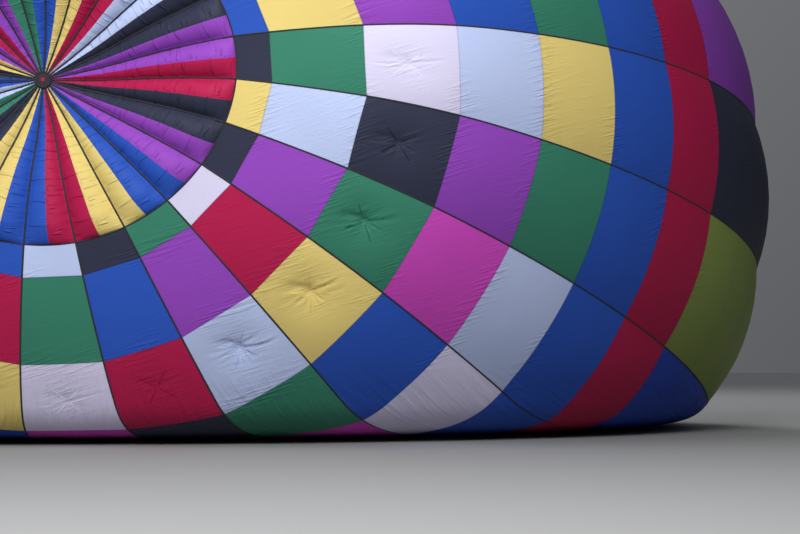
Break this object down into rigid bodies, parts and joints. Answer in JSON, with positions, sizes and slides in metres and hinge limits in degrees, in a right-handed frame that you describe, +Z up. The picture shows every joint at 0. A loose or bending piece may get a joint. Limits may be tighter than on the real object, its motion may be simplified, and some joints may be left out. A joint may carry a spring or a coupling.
{
  "type": "hot air balloon",
  "caption": "Hot air balloon laid out on the ground, partly filled: patchwork envelope, parachute vent, burner and wicker basket on its side.",
  "frame": {"origin": "middle of the widest ring of the envelope, where the air carries it", "axes": "+Z up, +Y from the crown towards the mouth, burner and basket, +X to the right as seen from in front of the crown"},
  "size_m": [26.4273, 32.1036, 14.2903],
  "materials": {
    "envelope_cloth": "coated ripstop nylon with a slight sheen, in patchwork colours",
    "vent_cloth": "coated ripstop nylon with a slight sheen, in patchwork colours",
    "load_tape": "woven webbing, matt",
    "ring_metal": "satin",
    "skirt_cloth": "flameproof cloth, matt",
    "wire_steel": "stranded stainless wire",
    "upright_cover": "padded laced sleeve",
    "frame_metal": "brushed",
    "burner_metal": "polished, heat tinted at the mouths",
    "rim_suede": "padded suede",
    "wicker": "woven willow and cane, varnished",
    "floor_wood": "plywood and hardwood, varnished",
    "cylinder_cover": "padded cover over a steel cylinder"
  },
  "bodies": {
    "balloon": {"gore_01": "envelope_cloth", "gore_02": "envelope_cloth", "gore_03": "envelope_cloth", "gore_04": "envelope_cloth", "gore_05": "envelope_cloth", "gore_06": "envelope_cloth", "gore_07": "envelope_cloth", "gore_08": "envelope_cloth", "gore_09": "envelope_cloth", "gore_10": "envelope_cloth", "gore_11": "envelope_cloth", "gore_12": "envelope_cloth", "gore_13": "envelope_cloth", "gore_14": "envelope_cloth", "gore_15": "envelope_cloth", "gore_16": "envelope_cloth", "gore_17": "envelope_cloth", "gore_18": "envelope_cloth", "gore_19": "envelope_cloth", "gore_20": "envelope_cloth", "gore_21": "envelope_cloth", "gore_22": "envelope_cloth", "gore_23": "envelope_cloth", "gore_24": "envelope_cloth", "crown_tapes": "load_tape", "crown_ring": "ring_metal", "mouth_skirt": "skirt_cloth", "flying_wires_1": "wire_steel", "flying_wires_2": "wire_steel", "flying_wires_3": "wire_steel", "flying_wires_4": "wire_steel", "upright_1": "upright_cover", "upright_2": "upright_cover", "upright_3": "upright_cover", "upright_4": "upright_cover", "burner_frame": "frame_metal", "basket_rim": "rim_suede", "basket_wall": "wicker", "basket_floor": "floor_wood", "runner_1": "floor_wood", "runner_2": "floor_wood", "runner_3": "floor_wood", "partition_1": "wicker", "partition_2": "wicker", "fuel_cylinder_1": "cylinder_cover", "fuel_cylinder_2": "cylinder_cover", "fuel_cylinder_3": "cylinder_cover", "fuel_cylinder_4": "cylinder_cover"},
    "vent": {"parachute_vent": "vent_cloth"},
    "gimbal": {"gimbal_ring": "frame_metal"},
    "burner": {"burner": "burner_metal"}
  },
  "joints": [
    {"name": "vent_slide", "type": "slide", "parent": "balloon", "child": "vent", "axis": [0, 1, 0], "range_m": [0, 1.4]},
    {"name": "gimbal_turn", "type": "hinge", "parent": "balloon", "child": "gimbal", "pos_m": [0, 19.9088, -4.624], "axis": [0, 0, 1], "range_deg": [-12, 12]},
    {"name": "burner_tilt", "type": "hinge", "parent": "gimbal", "child": "burner", "pos_m": [0, 19.9088, -4.624], "axis": [1, 0, 0], "range_deg": [-12, 12]}
  ]
}
